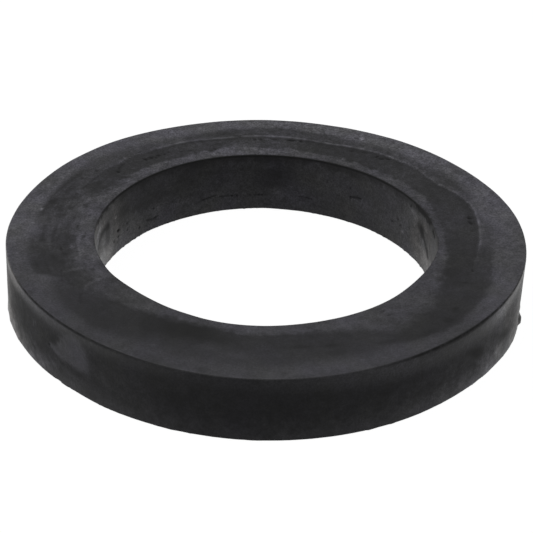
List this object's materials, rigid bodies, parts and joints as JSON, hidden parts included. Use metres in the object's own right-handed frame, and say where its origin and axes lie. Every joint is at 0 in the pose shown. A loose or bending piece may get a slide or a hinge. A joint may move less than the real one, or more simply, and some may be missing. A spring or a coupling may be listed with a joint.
{
  "type": "tank to bowl gasket",
  "caption": "Thick flat ring moulded in black rubber, with a round bore, slightly drafted walls and a shallow step round its upper face; it seals a cistern to its pan.",
  "frame": {"origin": "centre of the flat underside, on the ring's own axis", "axes": "+Z is the ring's axis, from the face that seats on the bowl up to the face that seats on the tank; X and Y are across it"},
  "size_m": [0.0952, 0.0952, 0.0122],
  "materials": {
    "black_rubber": "matt moulded rubber with a faint grey bloom"
  },
  "bodies": {
    "root": {"gasket": "black_rubber"}
  },
  "joints": []
}
